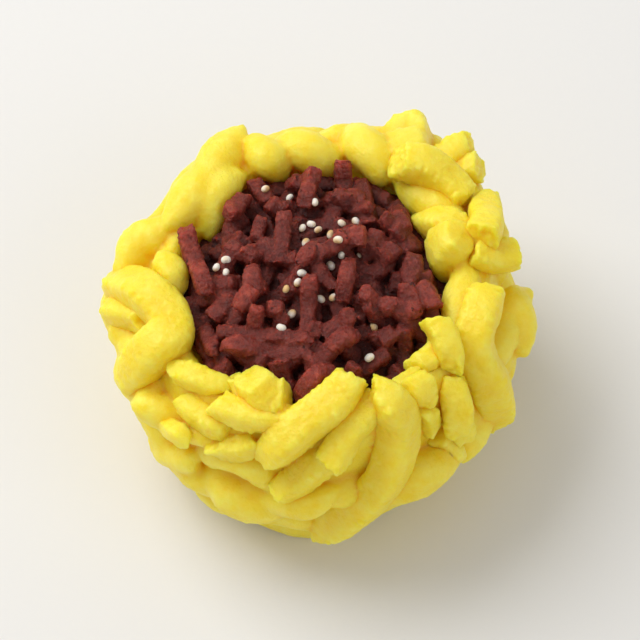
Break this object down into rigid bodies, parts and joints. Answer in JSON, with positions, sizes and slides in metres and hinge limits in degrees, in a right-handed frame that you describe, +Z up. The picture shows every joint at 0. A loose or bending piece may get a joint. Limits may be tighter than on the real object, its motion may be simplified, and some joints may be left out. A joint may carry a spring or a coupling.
{
  "type": "namagashi, a sieved bean-paste sweet",
  "caption": "Small round sweet of thick yellow bean-paste strands, with a hollow on top heaped with red bean-paste crumbs and poppy seeds.",
  "frame": {"origin": "middle of the flat underside, on the axis that the core is turned round", "axes": "+Z up, -Y towards the side that the picture looks at, +X to the right as seen from there"},
  "size_m": [0.0472, 0.047, 0.0285],
  "materials": {
    "yellow_paste": "soft, slightly moist sieved white bean paste dyed yellow, smooth strands with a fine grain",
    "red_bean_paste": "moist, grainy strands of red-brown bean paste with matt white poppy seeds"
  },
  "bodies": {
    "root": {"yellow_strands": "yellow_paste", "red_bean_heap": "red_bean_paste"}
  },
  "joints": []
}
